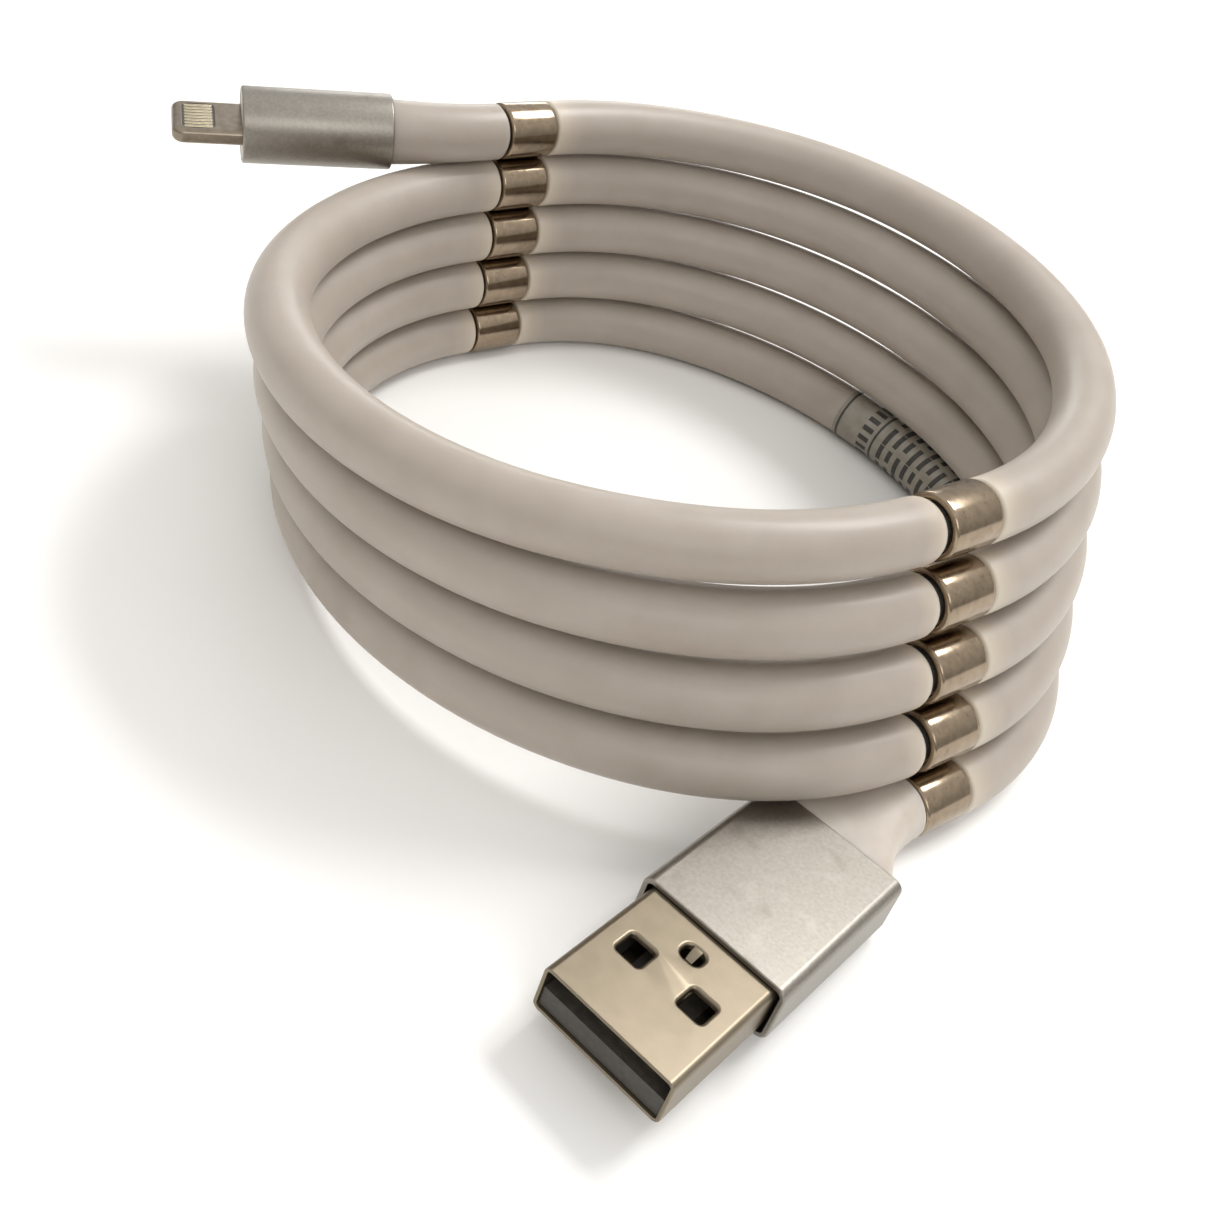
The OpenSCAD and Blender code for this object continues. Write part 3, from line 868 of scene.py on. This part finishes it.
def catch_tab():
    """Small tongue bent down into the catch's opening"""
    steps = 6
    rings = []
    for i in range(steps + 1):
        part = i / steps
        y = CATCH_Y + CATCH_L / 2 - CATCH_TAB_LEN * part
        z = SHELL_H / 2 - CATCH_TAB_TOP - CATCH_TAB_DIP * part ** CATCH_TAB_BEND
        loop = rounded_rect(CATCH_TAB_W - CATCH_TAB_TAPER * part, CATCH_TAB_T, CATCH_TAB_EDGE, 3)
        rings.append([AT_USB_PLUG @ Vector((a, y, z + b)) for a, b in loop])
    points, faces = skin(rings, closed=False)
    return piece("catch_tab", mesh_from("catch_tab", points, faces), "cable", shell_steel)


USB_HOUSING_WALL = 0.45
USB_HOUSING_CORNER = 0.9
USB_HOUSING_EDGE = 0.16
USB_HOUSING_SETBACK = 0.03


def usb_housing():
    def outside(inset):
        return rounded_rect(USB_HOUSING_W - 2 * inset, USB_HOUSING_H - 2 * inset,
                            USB_HOUSING_CORNER - inset / 2, 10)

    inside = rounded_rect(USB_HOUSING_W - 2 * USB_HOUSING_WALL,
                          USB_HOUSING_H - 2 * USB_HOUSING_WALL,
                          USB_HOUSING_CORNER - USB_HOUSING_WALL, 10)
    sections = edge_sections(-USB_HOUSING_LEN, 0, USB_HOUSING_EDGE, outside)
    sections += [(-USB_HOUSING_SETBACK, inside), (-USB_HOUSING_LEN + USB_HOUSING_SETBACK, inside)]
    points, faces = skin(along_plug(AT_USB_PLUG, sections))
    body = mesh_from("usb_housing", points, faces)
    return piece("usb_housing_skin", finished(body), "cable", housing_aluminium,
                 ["usb_housing"])


PHONE_HOUSING_WALL = 0.3
PHONE_HOUSING_EDGE = 0.2
PHONE_HOUSING_SETBACK = 0.02
PHONE_HOUSING_SIDES = 96


def phone_housing():
    def round_section(inset):
        return circle(PHONE_HOUSING_D / 2 - inset, PHONE_HOUSING_SIDES)

    inside = round_section(PHONE_HOUSING_WALL)
    sections = edge_sections(-PHONE_HOUSING_LEN, 0, PHONE_HOUSING_EDGE, round_section)
    sections += [(-PHONE_HOUSING_SETBACK, inside),
                 (-PHONE_HOUSING_LEN + PHONE_HOUSING_SETBACK, inside)]
    points, faces = skin(along_plug(AT_PHONE_PLUG, sections))
    return piece("phone_housing_skin", mesh_from("phone_housing", points, faces), "cable",
                 housing_aluminium, ["phone_housing"])


TAB_FRONT = -PHONE_HOUSING_LEN - TAB_LEN
TAB_REAR = -PHONE_HOUSING_LEN + 4
INSERT_W = 5.2
INSERT_L = 3.2
INSERT_Y = TAB_FRONT + 2.6
INSERT_T = 1.36
INSERT_CORNER = 0.7
INSERT_GAP = 0.02
TAB_EDGE = 0.55
TAB_CORNER = 1.2
TAB_BEVEL = 0.04
PAD_COUNT = 8
PAD_PITCH = 0.62
PAD_W = 0.42
PAD_L = 2.8
PAD_CORNER = 0.14
# Each step of a pad is a height above the insert's face and how far the pad draws in there.
PAD_STEPS = ((-0.05, 0), (0.03, 0), (0.055, 0.02), (0.06, 0.06))


def phone_tab():
    """Plate with its tip rounded in plan and its edges rounded in section"""
    length = TAB_REAR - TAB_FRONT
    middle = (TAB_REAR + TAB_FRONT) / 2
    steps = 8
    rings = []
    for i in range(2 * steps + 1):
        angle = math.pi / 2 * (i - steps) / steps
        inset = TAB_EDGE * (1 - math.cos(angle))
        z = TAB_EDGE * math.sin(angle)
        if i != steps:
            z += math.copysign(TAB_T / 2 - TAB_EDGE, angle)
        loop = rounded_rect(TAB_W - 2 * inset, length - 2 * inset, TAB_CORNER - inset, 8)
        rings.append([AT_PHONE_PLUG @ Vector((x, middle + y, z)) for x, y in loop])
    points, faces = skin(rings, closed=False)
    body = mesh_from("phone_tab", points, faces)
    cutter = post(AT_PHONE_PLUG, (0, INSERT_Y, 0), INSERT_W, INSERT_L, 2 * TAB_T,
                  INSERT_CORNER)
    return piece("phone_tab_skin", finished(body, [cutter], TAB_BEVEL), "cable", tab_steel,
                 ["phone_tab"])


def contact_insert():
    body = post(AT_PHONE_PLUG, (0, INSERT_Y, 0), INSERT_W - INSERT_GAP, INSERT_L - INSERT_GAP,
                INSERT_T, INSERT_CORNER)
    return piece("phone_contact_insert_skin", body, "cable", insulator_black,
                 ["phone_contact_insert"])


def contact_pads():
    points, faces = [], []
    for i in range(PAD_COUNT):
        x = (i - (PAD_COUNT - 1) / 2) * PAD_PITCH
        for side in (-1, 1):
            rings = []
            for height, inset in PAD_STEPS:
                loop = rounded_rect(PAD_W - 2 * inset, PAD_L - 2 * inset, PAD_CORNER - inset, 4)
                rings.append([AT_PHONE_PLUG @ Vector((x + a, INSERT_Y + b,
                                                      side * (INSERT_T / 2 + height)))
                              for a, b in loop])
            more_points, more_faces = skin(rings, closed=False)
            faces += [tuple(index + len(points) for index in face) for face in more_faces]
            points += more_points
    return piece("phone_contacts_skin", mesh_from("phone_contacts", points, faces), "cable",
                 contact_gold, ["phone_contacts"])


# Label --------------------------------------------------------------------------------------

LABEL_R = SLEEVE_D / 2 + 0.03
LABEL_T = 0.03
LABEL_START = math.radians(74)
LABEL_TURN = math.radians(31)

# Printed patches. Places and lengths are parts of the label's length, and angles are in degrees
# round the cord.
DIVIDER_PLACES = (0.02, 0.72, 0.965)
DIVIDER = (0.014, 60, 200)
TICK_PLACE = 0.755
TICK_COUNT = 7
TICK_LEN = 0.07
TICK_START = 76
TICK_PITCH = 24
TICK_SWEEP = 12
BAR_ROWS = 10
BAR_COUNT = 4
BAR_PLACE = 0.06
BAR_PITCH = 0.065
BAR_LEN = 0.03
BAR_START = 66
BAR_TURN_PITCH = 48
BAR_SWEEP = 30
BAR_SWEEP_STEP = 8
# The ink's top and underside, measured from the label's outer face
INK_TOP = 0.012
INK_UNDER = -0.01


def label_stretch():
    """Distances from the right ring at which the label starts and ends"""
    span = (right_x(TURN_COUNT) - left_x(TURN_COUNT)) / 2
    end_r, crown_r = arch_radii(span, 2 * COIL_R - span)
    start = end_r * math.pi / 4 + crown_r * (LABEL_START - math.pi / 4)
    return start, start + crown_r * LABEL_TURN


def label_band():
    """Thin film round the last half-turn"""
    start, end = label_stretch()
    turn = back_turn(TURN_COUNT)
    steps = 40
    outer, inner = [], []
    for i in range(steps + 1):
        station = turn.at(start + (end - start) * i / steps)
        outer.append(on_station(station, circle(LABEL_R + LABEL_T, SLEEVE_SIDES)))
        inner.append(on_station(station, circle(LABEL_R, SLEEVE_SIDES)))
    points, faces = skin(outer + inner[::-1])
    return piece("label_band_skin", mesh_from("label_band", points, faces), "cable", label_film,
                 ["label_band"])


def label_print():
    """Plain bars and dividers in place of the printing: each patch is a distance and a length
    along the label, and an angle and a sweep round it"""
    start, end = label_stretch()
    turn = back_turn(TURN_COUNT)
    length = end - start
    patches = [(place, *DIVIDER) for place in DIVIDER_PLACES]
    for block in range(TICK_COUNT):
        patches.append((TICK_PLACE, TICK_LEN, TICK_START + TICK_PITCH * block, TICK_SWEEP))
    for row in range(BAR_ROWS):
        for block in range(BAR_COUNT):
            sweep = BAR_SWEEP + BAR_SWEEP_STEP * ((row + 2 * block) % 3)
            patches.append((BAR_PLACE + BAR_PITCH * row, BAR_LEN,
                            BAR_START + BAR_TURN_PITCH * block, sweep))
    points, faces = [], []
    columns, rows = 6, 24
    for place, extent, angle, sweep in patches:
        sheet = []
        for layer in (LABEL_T + INK_TOP, LABEL_T + INK_UNDER):
            for i in range(columns + 1):
                point, across, up = turn.at(start + length * (place + extent * i / columns))
                for j in range(rows + 1):
                    direction = math.radians(angle + sweep * j / rows)
                    sheet.append(point + (LABEL_R + layer) *
                                 (math.cos(direction) * across + math.sin(direction) * up))
        wide, tall = columns + 1, rows + 1
        base = len(points)
        back = base + wide * tall

        def grid(i, j, first):
            return first + i * tall + j

        for i in range(columns):
            for j in range(rows):
                for first in (base, back):
                    faces.append((grid(i, j, first), grid(i + 1, j, first),
                                  grid(i + 1, j + 1, first), grid(i, j + 1, first)))
        for i in range(columns):
            for j in (0, rows):
                faces.append((grid(i, j, base), grid(i + 1, j, base),
                              grid(i + 1, j, back), grid(i, j, back)))
        for j in range(rows):
            for i in (0, columns):
                faces.append((grid(i, j, base), grid(i, j + 1, base),
                              grid(i, j + 1, back), grid(i, j, back)))
        points += sheet
    return piece("label_print", mesh_from("label_print", points, faces), "cable", label_ink)


# The cable ----------------------------------------------------------------------------------

cord, cord_path, cord_length = core_cord()
on_cord = []
for turn in range(1, TURN_COUNT + 1):
    on_cord.append(sleeve(f"back_sleeve_{turn}", back_turn(turn), BACK_ROUND, BACK_ROUND))
for turn in range(1, TURN_COUNT):
    on_cord.append(sleeve(f"front_sleeve_{turn}", front_turn(turn), FRONT_START_ROUND,
                          FRONT_END_ROUND, FRONT_REACH))
for turn in range(1, TURN_COUNT + 1):
    ring_magnet("left", left_x(turn), turn)
    ring_magnet("right", right_x(turn), turn)

on_cord += [lead_sleeve(), usb_boot(), label_band(), label_print()]
on_cord += [usb_shell(), usb_housing(), phone_housing(), phone_tab()]
on_cord += [contact_insert(), contact_pads()]
for face, side in (("upper", 1), ("lower", -1)):
    for hand, x in (("left", -WINDOW_X), ("right", WINDOW_X)):
        stamped_lip(f"window_lip_{face}_{hand}", x, WINDOW_Y, side, WINDOW_W, WINDOW_L,
                    WINDOW_R)
stamped_lip("catch_lip", 0, CATCH_Y, 1, CATCH_W, CATCH_L, CATCH_R)
catch_tab()

# CAD nodes that stay as they are, most of them inside the plugs and sleeves
KEPT = {
    "magnet_bushes": bush_sinter,
    "power_wire": wire_red,
    "ground_wire": wire_black,
    "data_plus_wire": wire_green,
    "data_minus_wire": wire_white,
    "usb_insulator": insulator_black,
    "usb_contacts": contact_gold,
    "usb_inner_mould": mould_white,
    "phone_board": board_green,
    "phone_chip": chip_black,
    "phone_inner_mould": mould_white,
}
for name, material in KEPT.items():
    for material_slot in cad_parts[name].material_slots:
        material_slot.material = material

FLOOR_HALF = 3
floor_mesh = bpy.data.meshes.new("floor")
floor_mesh.from_pydata(
    [(-FLOOR_HALF, -FLOOR_HALF, 0), (FLOOR_HALF, -FLOOR_HALF, 0),
     (FLOOR_HALF, FLOOR_HALF, 0), (-FLOOR_HALF, FLOOR_HALF, 0)], [], [(0, 1, 2, 3)])
floor_mesh.materials.append(floor_paper)
floor = bpy.data.objects.new("floor", floor_mesh)
bpy.context.collection.objects.link(floor)
